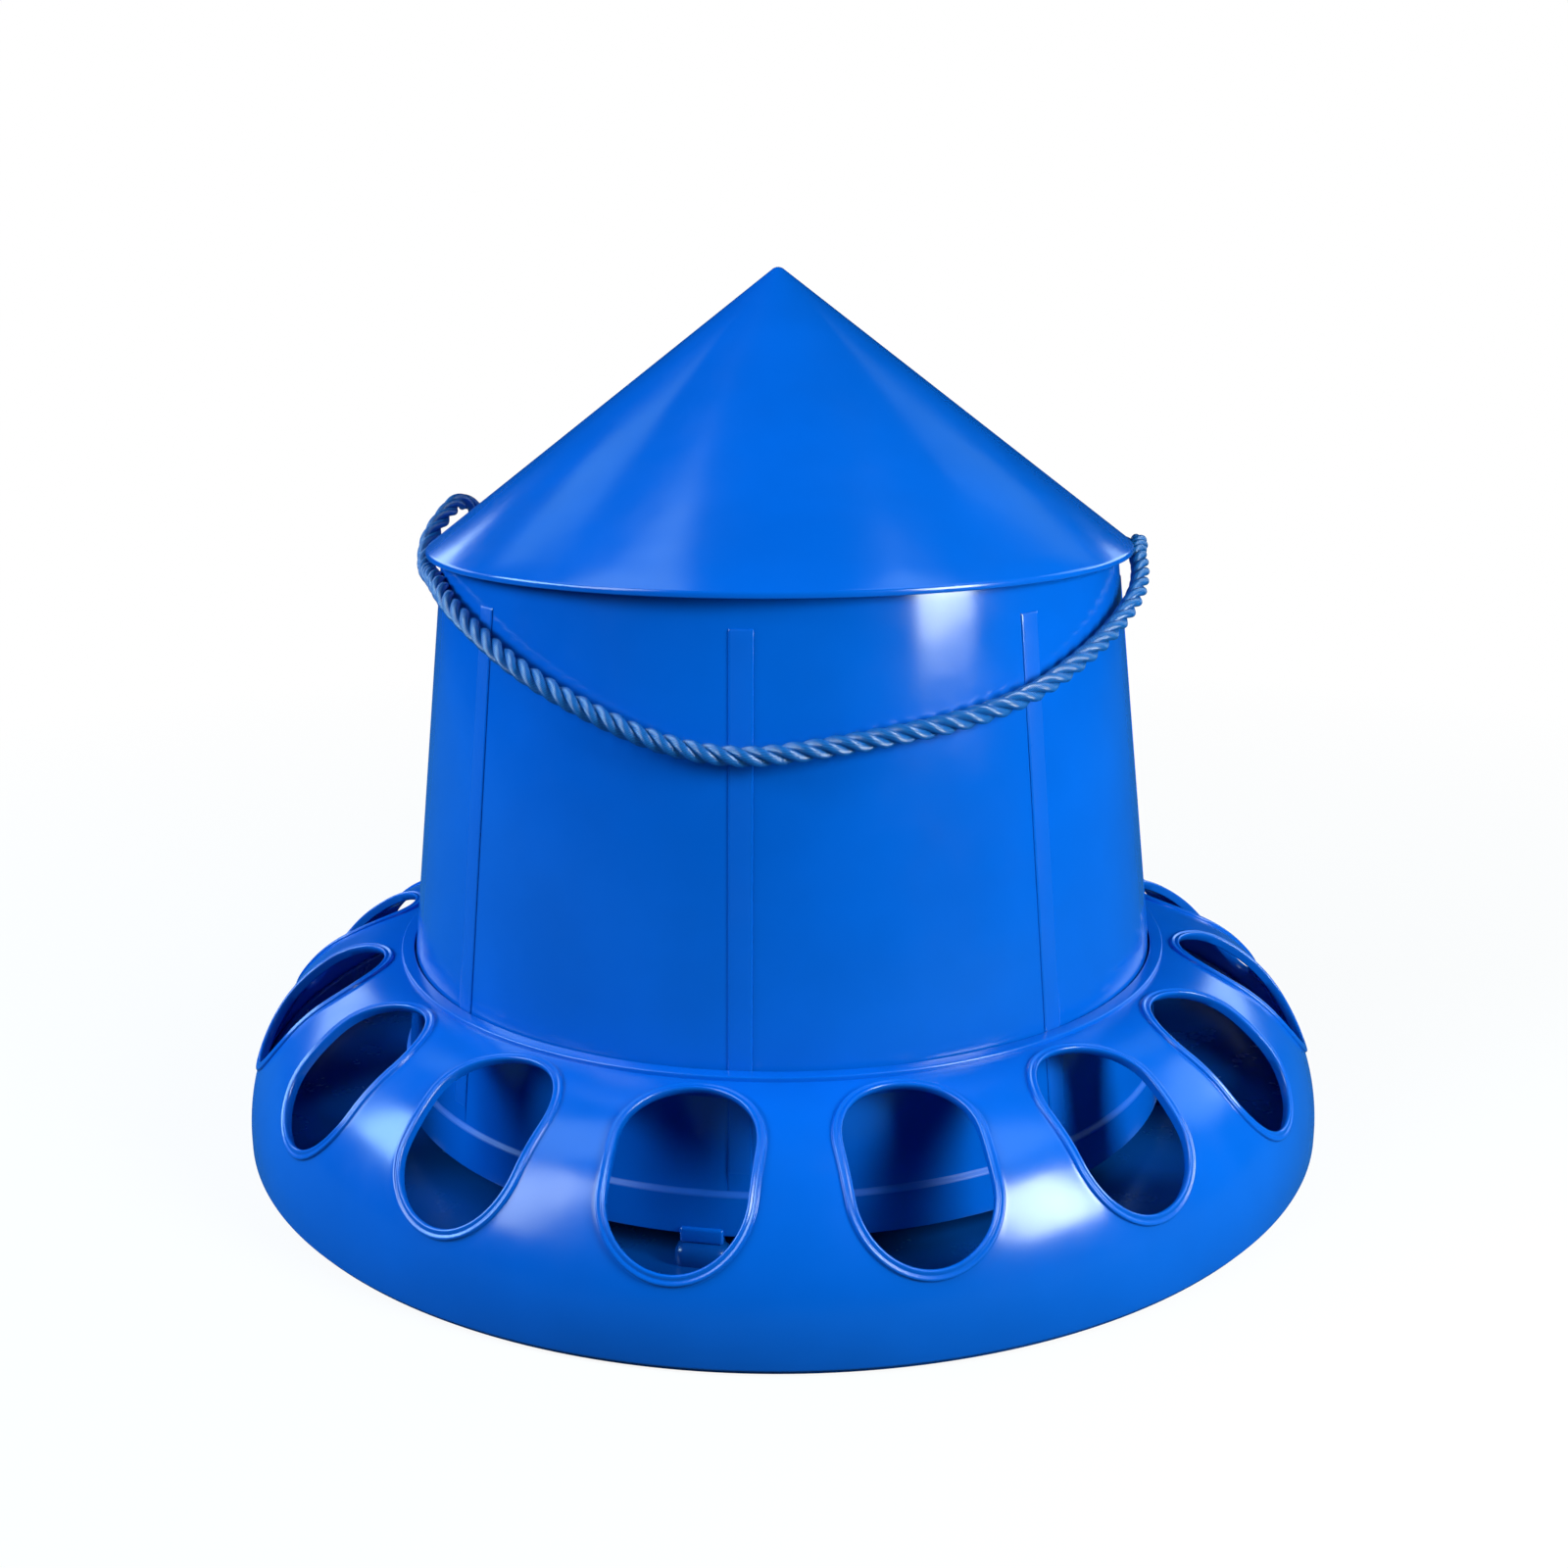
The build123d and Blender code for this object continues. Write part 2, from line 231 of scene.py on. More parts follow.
def rounded_box(size, place, angle, edge):
    """A box with rounded edges. Its size is radial, round the axis and upright, and its place the middle."""
    work = bmesh.new()
    bmesh.ops.create_cube(work, size=1.0)
    bmesh.ops.scale(work, vec=Vector(size) * MM, verts=work.verts)
    bmesh.ops.bevel(
        work, geom=work.edges[:], offset=edge * MM, segments=3, affect="EDGES", profile=0.5
    )
    bmesh.ops.transform(work, verts=work.verts,
                        matrix=Matrix.Rotation(angle, 4, "Z") @ Matrix.Translation(Vector(place) * MM))
    mesh = bpy.data.meshes.new("cutter")
    work.to_mesh(mesh)
    work.free()
    obj = bpy.data.objects.new("cutter", mesh)
    bpy.context.scene.collection.objects.link(obj)
    return obj


def rod(radius, start, end, count=48):
    """A plain rod between two points, used to cut holes."""
    work = bmesh.new()
    run = Vector(end) - Vector(start)
    bmesh.ops.create_cone(work, cap_ends=True, segments=count,
                          radius1=radius * MM, radius2=radius * MM, depth=run.length * MM)
    turn = run.to_track_quat("Z", "Y").to_matrix().to_4x4()
    middle = (Vector(start) + Vector(end)) / 2 * MM
    bmesh.ops.transform(work, verts=work.verts, matrix=Matrix.Translation(middle) @ turn)
    mesh = bpy.data.meshes.new("cutter")
    work.to_mesh(mesh)
    work.free()
    obj = bpy.data.objects.new("cutter", mesh)
    bpy.context.scene.collection.objects.link(obj)
    return obj


def combine(obj, tools, operation, smooth_angle=32):
    """Joins tools to the object, or cuts them out of it, and deletes them."""
    for tool in tools:
        step = obj.modifiers.new("step", "BOOLEAN")
        step.operation = operation
        step.solver = "EXACT"
        step.object = tool
    bpy.context.view_layer.update()
    result = bpy.data.meshes.new_from_object(obj.evaluated_get(bpy.context.evaluated_depsgraph_get()))
    obj.modifiers.clear()
    old = obj.data
    obj.data = result
    result.name = obj.name
    bpy.data.meshes.remove(old)
    for tool in tools:
        mesh = tool.data
        bpy.data.objects.remove(tool)
        bpy.data.meshes.remove(mesh)
    finish_mesh(obj.data, smooth_angle)


# The lid
def lid_underside(radius):
    return LID_PEAK - LID_WALL / cos(LID_SLOPE) - radius * tan(LID_SLOPE)


def make_lid():
    tip_centre = LID_PEAK - LID_TIP_RADIUS / cos(LID_SLOPE)
    profile = [
        (LID_TIP_RADIUS * sin(LID_SLOPE * k / 8), tip_centre + LID_TIP_RADIUS * cos(LID_SLOPE * k / 8))
        for k in range(9)
    ]
    spigot_inner = LID_SPIGOT_RADIUS - LID_SPIGOT_WALL
    edge = rounded([
        (profile[-1][0], profile[-1][1], 0),
        (LID_RADIUS, LID_FOOT + LID_EDGE, 0.9),
        (LID_RADIUS, LID_FOOT, 0.5),
        (LID_RADIUS - LID_EDGE, LID_FOOT, 0.5),
        (LID_RADIUS - LID_EDGE, lid_underside(LID_RADIUS - LID_EDGE), 0.4),
        (HOPPER_TOP_RADIUS, lid_underside(HOPPER_TOP_RADIUS), 0.2),
        (HOPPER_TOP_RADIUS, HOPPER_TOP, 0.2),
        (LID_SPIGOT_RADIUS, HOPPER_TOP, 0.2),
        (LID_SPIGOT_RADIUS, HOPPER_TOP - LID_SPIGOT_DEPTH, 0.5),
        (spigot_inner, HOPPER_TOP - LID_SPIGOT_DEPTH, 0.5),
        (spigot_inner, lid_underside(spigot_inner), 0.5),
        (0, lid_underside(0), 0),
    ])
    return revolve("lid_shell", split_runs(profile + edge[1:], 9.0), 288)


# The hopper
def make_hopper():
    band = FOOT_BAND_TOP + FOOT_BAND_PROUD
    outside = rounded([
        (hopper_radius(HOPPER_TOP) - HOPPER_WALL, HOPPER_TOP, 0),
        (hopper_radius(HOPPER_TOP), HOPPER_TOP, 0.5),
        (hopper_radius(band), band, 0.4),
        (hopper_radius(FOOT_BAND_TOP) + FOOT_BAND_PROUD, FOOT_BAND_TOP, 0.5),
        (hopper_radius(HOPPER_FOOT) + FOOT_BAND_PROUD, HOPPER_FOOT, 0.5),
        (hopper_radius(HOPPER_FOOT) - HOPPER_WALL, HOPPER_FOOT, 0.5),
        (hopper_radius(HOPPER_TOP) - HOPPER_WALL, HOPPER_TOP, 0),
    ])
    outer = []  # (radius, height, how proud the strips stand)
    for x, z in split_runs(outside, 6.0)[:-1]:
        on_wall = abs(x - hopper_radius(z)) < 0.01 and band + 0.5 < z < HOPPER_TOP - 1
        outer.append((x, z, STRIP_PROUD if on_wall and z < STRIP_TOP - 1 else 0.0))
    extra = [
        (hopper_radius(STRIP_TOP - inset), STRIP_TOP - inset, STRIP_PROUD * share)
        for inset, share in STRIP_EDGE
    ]
    place = next(i for i, (x, z, proud) in enumerate(outer) if proud > 0)
    outer[place:place] = extra
    half = STRIP_WIDTH / 2
    across = [(inset - half, share) for inset, share in STRIP_EDGE]
    across += [(half - inset, share) for inset, share in reversed(STRIP_EDGE)]
    between = 36
    sector = 2 * pi / STRIPS
    verts, faces = [], []
    for x, z, proud in outer:
        for strip in range(STRIPS):
            middle = turned(HOPPER_TURN) + strip * sector
            for s, share in across:
                angle = middle + s / x
                r = x + proud * share
                verts.append((r * cos(angle), r * sin(angle), z))
            start, end = middle + half / x, middle + sector - half / x
            for k in range(1, between):
                angle = start + (end - start) * k / between
                verts.append((x * cos(angle), x * sin(angle), z))
    per_strip = len(across) + between - 1
    count = STRIPS * per_strip
    total = len(outer)
    marks = []
    for row in range(total):
        proud = outer[row][2] > 0 and outer[(row + 1) % total][2] > 0
        upper, lower = outer[row], outer[(row + 1) % total]
        below_band = upper[1] < band + 0.5 and lower[1] > FOOT_BAND_TOP - 0.6
        on_ledge = below_band and lower[0] > hopper_radius(lower[1]) - 0.1
        for k in range(count):
            n = (k + 1) % count
            a, b = row * count, ((row + 1) % total) * count
            faces.append((a + k, a + n, b + n, b + k))
            on_strip = proud and k % per_strip == len(STRIP_EDGE) - 1
            marks.append(2 if on_ledge else int(on_strip))
    surfaces = (plastic_body, plastic_strip, plastic_ledge)
    obj = mesh_object("hopper_shell", verts, faces, materials=surfaces, marks=marks)
    inner = hopper_radius(HOPPER_FOOT) - HOPPER_WALL
    outer_edge = hopper_radius(HOPPER_FOOT) + LUG_PROUD
    lugs = [
        rounded_box(
            (outer_edge - inner - 0.1, LUG_WIDTH, LUG_TOP - LUG_FOOT),
            ((inner + outer_edge) / 2 + 0.05, 0, (LUG_TOP + LUG_FOOT) / 2),
            turned(HOPPER_TURN + LUG_TURN + 360 / LUGS * k),
            1.0,
        )
        for k in range(LUGS)
    ]
    combine(obj, lugs, "UNION")
    holes = []
    for side in (-1, 1):
        angle = turned(HOPPER_TURN + side * ROPE_HOLE_ANGLE)
        out = Vector((cos(angle), sin(angle), 0))
        up = Vector((0, 0, ROPE_HEIGHT))
        holes.append(rod(ROPE_HOLE / 2, out * 115 + up, out * 140 + up))
    combine(obj, holes, "DIFFERENCE")
    return obj


# The feeding ring
def hole_radius(height):
    return hopper_radius(height) + STRIP_PROUD + RING_CLEARANCE


SECTOR = pi / OPENINGS  # half of one opening's share of the ring
LIP_RADIUS = hole_radius(LIP_HEIGHT) + LIP_WIDTH
COLLAR_RADIUS = hole_radius(COLLAR_FOOT) + COLLAR_WALL
OUTER_TOP = acos((LIP_RADIUS - DOME_MID_RADIUS) / DOME_RADIUS)
INNER_TOP = acos((COLLAR_RADIUS - DOME_MID_RADIUS) / (DOME_RADIUS - RING_WALL))
AXIS_UP = Vector((sin(OPENING_TILT), 0, cos(OPENING_TILT)))
AXIS_OUT = Vector((cos(OPENING_TILT), 0, -sin(OPENING_TILT)))
SLOT_MID = Vector((DOME_MID_RADIUS, 0, DOME_MID_HEIGHT)) + AXIS_UP * DOME_RADIUS


def on_dome(azimuth, rise, radius):
    """A point of the dome, or of its underside: azimuth about Z, rise from its equator."""
    r = DOME_MID_RADIUS + radius * cos(rise)
    return Vector((r * cos(azimuth), r * sin(azimuth), DOME_MID_HEIGHT + radius * sin(rise)))


def dome_place(point):
    """Azimuth and rise of a point near the dome."""
    r = (point.x ** 2 + point.y ** 2) ** 0.5
    return atan2(point.y, point.x), atan2(point.z - DOME_MID_HEIGHT, r - DOME_MID_RADIUS)


def dome_gap(point, radius):
    r = (point.x ** 2 + point.y ** 2) ** 0.5
    return ((r - DOME_MID_RADIUS) ** 2 + (point.z - DOME_MID_HEIGHT) ** 2) ** 0.5 - radius


def drop_on_dome(u, v, radius):
    """The point of the opening's own plane at (u, v), moved square to that plane on to the dome."""
    base = SLOT_MID + AXIS_OUT * u + Vector((0, 1, 0)) * v
    low, high = -40.0, 12.0
    for _ in range(40):
        middle = (low + high) / 2
        if dome_gap(base + AXIS_UP * middle, radius) > 0:
            high = middle
        else:
            low = middle
    return base + AXIS_UP * low


def slot_points(turns):
    """Points and outward directions on the slot's outline, for angles given about its middle."""
    end = OPENING_WIDTH / 2
    half = OPENING_LENGTH / 2 - end
    found = []
    for turn in turns:
        # The ray from the middle meets a straight side or a round end.
        c, s = cos(turn), sin(turn)
        if abs(s) > 1e-9 and abs(c * end / s) <= half:
            side = 1 if s > 0 else -1
            found.append(((c * end / abs(s), side * end), (0, side)))
            continue
        centre = half if c > 0 else -half
        b = -c * centre
        reach = -b + (b * b - (centre * centre - end * end)) ** 0.5
        x, y = reach * c, reach * s
        found.append(((x, y), ((x - centre) / end, y / end)))
    return found


BEAD_ROUNDING = 0.55
BEAD_RIDGE = 1.1
BEAD_GROOVE = 0.4
BEAD_STEPS = [0.0, 0.04, 0.12, 0.24, 0.4, 0.6, 0.85, 1.08, 1.28, 1.5,
              1.72, 1.92, 2.15, 2.4, 2.6, 2.76, 2.88, 2.96, 3.0]


def bead_height(out):
    """The bead is a low band with a soft ridge along each side and a shallow groove between them."""
    edge = min(out, BEAD_WIDTH - out, BEAD_ROUNDING) / BEAD_ROUNDING
    rise = 0.3 + 0.7 * (1 - (1 - edge) ** 2) ** 0.5
    groove = BEAD_GROOVE * exp(-((out - BEAD_WIDTH / 2) / 0.5) ** 2)
    return BEAD_HEIGHT * BEAD_RIDGE * rise - groove


END_PULL = 0.75


def make_ring():
    """One sector of the dome is a net round its opening, and sixteen of them make the ring."""
    side_steps, edge_steps = 30, 22
    # The border of a sector, from its lower right corner, all the way round: (azimuth, share of the rise).
    border = []
    for k in range(edge_steps):
        border.append((-SECTOR + 2 * SECTOR * k / edge_steps, 0.0))
    for k in range(side_steps):
        border.append((SECTOR, k / side_steps))
    for k in range(edge_steps):
        border.append((SECTOR - 2 * SECTOR * k / edge_steps, 1.0))
    for k in range(side_steps):
        border.append((-SECTOR, 1.0 - k / side_steps))
    count = len(border)

    def border_points(top, radius):
        return [(azimuth, share * top) for azimuth, share in border]

    # Angles about the opening's middle at which the border's points lie, pulled a little towards its ends.
    outer_border = border_points(OUTER_TOP, DOME_RADIUS)
    inner_border = border_points(INNER_TOP, DOME_RADIUS - RING_WALL)
    turns = []
    for azimuth, rise in outer_border:
        point = on_dome(azimuth, rise, DOME_RADIUS) - SLOT_MID
        turns.append(atan2(point.y * END_PULL, point.dot(AXIS_OUT)))
    outline = slot_points(turns)

    # The bead's section: distance out from the opening's edge, height over the dome.
    bead = [(0.0, -0.15)] + [(out, bead_height(out)) for out in BEAD_STEPS]
    bead += [(BEAD_WIDTH + 0.06, 0.12), (BEAD_WIDTH + 0.2, 0.04), (BEAD_WIDTH + 0.45, 0.0)]

    def net(radius, section, borders, rings):
        rows = []
        for out, rise in section:
            row = []
            for (u, v), (nu, nv) in outline:
                point = drop_on_dome(u + nu * out, v + nv * out, radius)
                azimuth, at = dome_place(point)
                row.append(on_dome(azimuth, at, radius + rise))
            rows.append(row)
        start = [dome_place(point) for point in rows[-1]]
        for k in range(1, rings + 1):
            t = k / rings
            row = []
            for (a0, r0), (a1, r1) in zip(start, borders):
                row.append(on_dome(a0 + (a1 - a0) * t, r0 + (r1 - r0) * t, radius))
            rows.append(row)
        return rows

    outer_rows = net(DOME_RADIUS, bead, outer_border, 12)
    inner_rows = net(DOME_RADIUS - RING_WALL, [(0.0, 0.3), (0.35, 0.0)], inner_border, 8)
    verts, faces = [], []

    def add_rows(rows, spin):
        first = len(verts)
        for row in rows:
            for p in row:
                verts.append((p.x * cos(spin) - p.y * sin(spin), p.x * sin(spin) + p.y * cos(spin), p.z))
        for i in range(len(rows) - 1):
            for k in range(count):
                n = (k + 1) % count
                a, b = first + i * count, first + (i + 1) * count
                faces.append((a + k, a + n, b + n, b + k))
        return first

    for opening in range(OPENINGS):
        spin = turned((opening + 0.5) * 360 / OPENINGS)
        o = add_rows(outer_rows, spin)
        i = add_rows(inner_rows, spin)
        for k in range(count):
            n = (k + 1) % count
            faces.append((o + k, o + n, i + n, i + k))

    # The lip and the collar at the top, and the foot, run all the way round in step with the sectors.
    around = [turned(0) + 2 * SECTOR * k / edge_steps for k in range(edge_steps * OPENINGS)]

    def band(profile):
        first = len(verts)
        n_around = len(around)
        for x, z in profile:
            for angle in around:
                verts.append((x * cos(angle), x * sin(angle), z))
        for row in range(len(profile) - 1):
            for k in range(n_around):
                n = (k + 1) % n_around
                a, b = first + row * n_around, first + (row + 1) * n_around
                faces.append((a + k, a + n, b + n, b + k))

    top = on_dome(0, OUTER_TOP, DOME_RADIUS)
    inner_top = on_dome(0, INNER_TOP, DOME_RADIUS - RING_WALL)
    band(rounded([
        (top.x, top.z, 0),
        (LIP_RADIUS, LIP_HEIGHT, 0.8),
        (hole_radius(LIP_HEIGHT), LIP_HEIGHT, 0.6),
        (hole_radius(COLLAR_FOOT), COLLAR_FOOT, 0.4),
        (COLLAR_RADIUS, COLLAR_FOOT, 0.4),
        (inner_top.x, inner_top.z, 0),
    ], 5))
    inner_foot = RING_RADIUS - RING_WALL
    band(rounded([
        (RING_RADIUS, DOME_MID_HEIGHT, 0),
        (RING_RADIUS, FLANGE_THICKNESS, 1.0),
        (inner_foot, FLANGE_THICKNESS, 0.3),
        (inner_foot, DOME_MID_HEIGHT, 0),
    ], 5))
    return mesh_object("ring_shell", verts, faces, 40)


# The pan
def make_pan():
    wall = DOME_RADIUS - RING_WALL - PAN_CLEARANCE
    inner = wall - PAN_WALL

    def arc(radius, from_height, to_height, steps):
        a0, a1 = [(h - DOME_MID_HEIGHT) / radius for h in (from_height, to_height)]
        angles = [a0 + (a1 - a0) * k / steps for k in range(steps + 1)]
        return [(DOME_MID_RADIUS + radius * (1 - sin_a ** 2) ** 0.5, DOME_MID_HEIGHT + radius * sin_a)
                for sin_a in angles]

    outer_arc = arc(wall, DOME_MID_HEIGHT, PAN_HEIGHT, 8)
    inner_arc = arc(inner, PAN_HEIGHT, DOME_MID_HEIGHT, 8)
    flange = RING_RADIUS - RING_WALL + FLANGE_REACH
    profile = rounded([
        (0, SPREADER_HEIGHT - PAN_FLOOR, 0),
        (SPREADER_TOP_RADIUS, SPREADER_HEIGHT - PAN_FLOOR, 3.0),
        (SPREADER_RADIUS, 0, 3.0),
        (flange, 0, 0.4),
        (flange, FLANGE_THICKNESS, 0.4),
        (DOME_MID_RADIUS + wall, FLANGE_THICKNESS, 0.3),
    ] + [(x, z, 0) for x, z in outer_arc[:-1]] + [
        (outer_arc[-1][0], outer_arc[-1][1], 0.7),
        (inner_arc[0][0], inner_arc[0][1], 0.7),
    ] + [(x, z, 0) for x, z in inner_arc[1:]] + [
        (DOME_MID_RADIUS + inner, PAN_FLOOR, 1.6),
        (SPREADER_RADIUS, PAN_FLOOR, 5.0),
        (SPREADER_TOP_RADIUS, SPREADER_HEIGHT, 5.0),
        (0, SPREADER_HEIGHT, 0),
    ])
    obj = revolve("pan_shell", split_runs(profile, 8.0), 288)
    middle = (2 * hopper_radius(HOPPER_FOOT) - HOPPER_WALL + LUG_PROUD) / 2
    pads = [
        rounded_box(
            (PAD_DEPTH, PAD_WIDTH, LUG_FOOT - 0.5),
            (middle, 0, (LUG_FOOT + 0.5) / 2),
            turned(HOPPER_TURN + LUG_TURN + 360 / LUGS * k),
            3.5,
        )
        for k in range(LUGS)
    ]
    combine(obj, pads, "UNION")
    return obj


# The rope
def hole_direction(side):
    angle = turned(HOPPER_TURN + side * ROPE_HOLE_ANGLE)
    return Vector((cos(angle), sin(angle), 0))


def at_hole(side, radius):
    return hole_direction(side) * radius + Vector((0, 0, ROPE_HEIGHT))


# The points follow the rope in the photograph a little more closely than the plain tube of the solids does.
KNOT_FACE_RADIUS = hopper_radius(ROPE_HEIGHT) - HOPPER_WALL - KNOT_GAP
STRAND_EXIT_RUN = 2.0
EXIT_RADIUS = hopper_radius(ROPE_HEIGHT) + STRAND_EXIT_RUN
ROPE_POINTS = [
    at_hole(-1, KNOT_FACE_RADIUS),
    at_hole(-1, EXIT_RADIUS),
    (-113.1, 76.6, 209.6),
    (-120.6, 79.1, 215.6),
    (-125.3, 76.8, 224.6),
    (-128.4, 68.5, 229.6),
    (-130.5, 58, 230.4),
    (-132.5, 47, 228),
    (-135, 36, 224),
    (-137, 23.5, 218.8),
    (-136, 11, 214),
    (-133.5, -3, 211.5),
    (-129.8, -18, 211.5),
    (-124.5, -40, 213.3),
    (-113.5, -72, 206.5),
    (-81.5, -111, 188),
    (-29, -137, 168.5),
    (18, -137.5, 174),
    (70, -119.5, 180.5),
    (103.5, -87.5, 193.5),
    (125.5, -51.5, 205.5),
    (133.5, -22, 211.5),
    (136, -4, 214.5),
    (139.5, 10, 215),
    (143.5, 23.5, 215.7),
    (143.5, 35.5, 213.8),
    (138, 43.6, 211),
    (128.5, 46.5, 209.4),
    at_hole(1, EXIT_RADIUS),
    at_hole(1, KNOT_FACE_RADIUS),
]


def rope_line():
    """Points along the rope's smooth line, read from a spline through the chosen points."""
    data = bpy.data.curves.new("rope_line", "CURVE")
    data.dimensions = "3D"
    data.resolution_u = 24
    spline = data.splines.new("NURBS")
    spline.points.add(len(ROPE_POINTS) - 1)
    for place, point in zip(spline.points, ROPE_POINTS):
        place.co = (point[0] * MM, point[1] * MM, point[2] * MM, 1.0)
    spline.order_u = 3
    spline.use_endpoint_u = True
    obj = bpy.data.objects.new("rope_line", data)
    bpy.context.scene.collection.objects.link(obj)
    bpy.context.view_layer.update()
    mesh = bpy.data.meshes.new_from_object(obj.evaluated_get(bpy.context.evaluated_depsgraph_get()))
    points = [v.co.copy() for v in mesh.vertices]
    bpy.data.meshes.remove(mesh)
    bpy.data.objects.remove(obj)
    bpy.data.curves.remove(data)
    return points


def even_steps(points, step):
    """The same line at even steps, and its length."""
    lengths = [0.0]
    for a, b in zip(points, points[1:]):
        lengths.append(lengths[-1] + (b - a).length)
    total = lengths[-1]
    count = int(total / step) + 1
    found, at = [], 0
    for k in range(count + 1):
        want = total * k / count
        while at < len(points) - 2 and lengths[at + 1] < want:
            at += 1
        share = (want - lengths[at]) / max(1e-12, lengths[at + 1] - lengths[at])
        found.append(points[at].lerp(points[at + 1], share))
    return found, total


def frames_along(points):
    """A direction and two sideways directions at each point, carried along without twist."""
    found = []
    side = None
    for i, point in enumerate(points):
        ahead = (points[min(i + 1, len(points) - 1)] - points[max(i - 1, 0)]).normalized()
        if side is None:
            side = ahead.orthogonal().normalized()
        side = (side - ahead * side.dot(ahead)).normalized()
        found.append((point, ahead, side, ahead.cross(side)))
    return found


STRANDS = 3
ROPE_LAY = 19.5 * MM
LAY_GROWTH = 9.0 * MM
TIGHTEST_AT = 310 * MM
LAY_REACH = 170 * MM
STRAND_REACH = 1.78 * MM
STRAND_DEEP = 1.70 * MM
STRAND_WIDE = 1.60 * MM


def lay_at(place):
    """The length of one full twist. It is shortest in the middle, where the rope bends most."""
    return ROPE_LAY + LAY_GROWTH * min(1.4, ((place - TIGHTEST_AT) / LAY_REACH) ** 2)


def make_rope():
    line, length = even_steps(rope_line(), 0.55 * MM)
    frames = frames_along(line)
    step = length / (len(line) - 1)
    around = 20
    twist = [0.0]
    for i in range(1, len(frames)):
        twist.append(twist[-1] + step / lay_at(i * step))
    verts, faces, uvs = [], [], []
    for strand in range(STRANDS):
        centres = []
        for i, (point, ahead, a, b) in enumerate(frames):
            turn = 2 * pi * (strand / STRANDS + twist[i])
            out = a * cos(turn) + b * sin(turn)
            centres.append((point + out * STRAND_REACH, out))
        first = len(verts)
        for i, (centre, out) in enumerate(centres):
            ahead = (centres[min(i + 1, len(centres) - 1)][0] - centres[max(i - 1, 0)][0]).normalized()
            deep = (out - ahead * out.dot(ahead)).normalized()
            wide = ahead.cross(deep)
            for k in range(around):
                angle = 2 * pi * k / around
                verts.append(centre + deep * (STRAND_DEEP * cos(angle)) + wide * (STRAND_WIDE * sin(angle)))
        rows = len(centres)
        for i in range(rows - 1):
            for k in range(around):
                n = (k + 1) % around
                a, b = first + i * around, first + (i + 1) * around
                faces.append((a + k, a + n, b + n, b + k))
                u0, u1 = k / around, (k + 1) / around
                v0, v1 = i * step * 1000, (i + 1) * step * 1000
                uvs.append(((u0, v0), (u1, v0), (u1, v1), (u0, v1)))
        faces.append(tuple(first + k for k in range(around))[::-1])
        uvs.append(tuple((k / around, 0.0) for k in range(around)))
        faces.append(tuple(first + (rows - 1) * around + k for k in range(around)))
        uvs.append(tuple((k / around, 0.0) for k in range(around)))
    mesh = bpy.data.meshes.new("rope_strands")
    mesh.from_pydata([tuple(v) for v in verts], [], faces)
    layer = mesh.uv_layers.new(name="along")
    flat = [value for corners in uvs for pair in corners for value in pair]
    layer.data.foreach_set("uv", flat)
    mesh.polygons.foreach_set("use_smooth", [True] * len(mesh.polygons))
    mesh.update()
    obj = bpy.data.objects.new("rope_strands", mesh)
    bpy.context.scene.collection.objects.link(obj)
    return obj, line, length


# Materials
def node_material(name):
    material = bpy.data.materials.new(name)
    material.use_nodes = True
    nodes = material.node_tree.nodes
    nodes.clear()
    output = nodes.new("ShaderNodeOutputMaterial")
    shader = nodes.new("ShaderNodeBsdfPrincipled")
    material.node_tree.links.new(shader.outputs["BSDF"], output.inputs["Surface"])
    return material, nodes, material.node_tree.links, shader


def noise(nodes, links, coords, scale, detail=2.0, roughness=0.5):
    node = nodes.new("ShaderNodeTexNoise")
    node.inputs["Scale"].default_value = scale
    node.inputs["Detail"].default_value = detail
    node.inputs["Roughness"].default_value = roughness
    links.new(coords, node.inputs["Vector"])
    return node.outputs["Fac"]


def ramp(nodes, links, value, low, high, first, last):
    node = nodes.new("ShaderNodeMapRange")
    node.inputs["From Min"].default_value = low
    node.inputs["From Max"].default_value = high
    node.inputs["To Min"].default_value = first
    node.inputs["To Max"].default_value = last
    links.new(value, node.inputs["Value"])
    return node.outputs["Result"]


def colour_mix(nodes, links, value, first, second):
    node = nodes.new("ShaderNodeMix")
    node.data_type = "RGBA"
    node.inputs["A"].default_value = (*first, 1.0)
    node.inputs["B"].default_value = (*second, 1.0)
    links.new(value, node.inputs["Factor"])
    return node.outputs["Result"]


def plastic(name, dark, light, roughness):
    """Glossy moulded plastic: a faint cloud in the colour, faint moulding waves and a fine skin."""
    material, nodes, links, shader = node_material(name)
    coords = nodes.new("ShaderNodeTexCoord").outputs["Object"]
    cloud = ramp(nodes, links, noise(nodes, links, coords, 22.0, 3.0), 0.35, 0.65, 0.0, 1.0)
    links.new(colour_mix(nodes, links, cloud, dark, light), shader.inputs["Base Color"])
    patch = noise(nodes, links, coords, 60.0, 4.0, 0.6)
    gloss = ramp(nodes, links, patch, 0.3, 0.7, roughness - 0.03, roughness + 0.04)
    links.new(gloss, shader.inputs["Roughness"])
    wave = nodes.new("ShaderNodeBump")
    wave.inputs["Strength"].default_value = 1.0
    wave.inputs["Distance"].default_value = 0.00012
    links.new(noise(nodes, links, coords, 45.0, 1.0), wave.inputs["Height"])
    skin = nodes.new("ShaderNodeBump")
    skin.inputs["Strength"].default_value = 1.0
    skin.inputs["Distance"].default_value = 0.000006
    links.new(noise(nodes, links, coords, 1400.0, 2.0), skin.inputs["Height"])
    links.new(wave.outputs["Normal"], skin.inputs["Normal"])
    links.new(skin.outputs["Normal"], shader.inputs["Normal"])
    shader.inputs["IOR"].default_value = 1.49
    return material


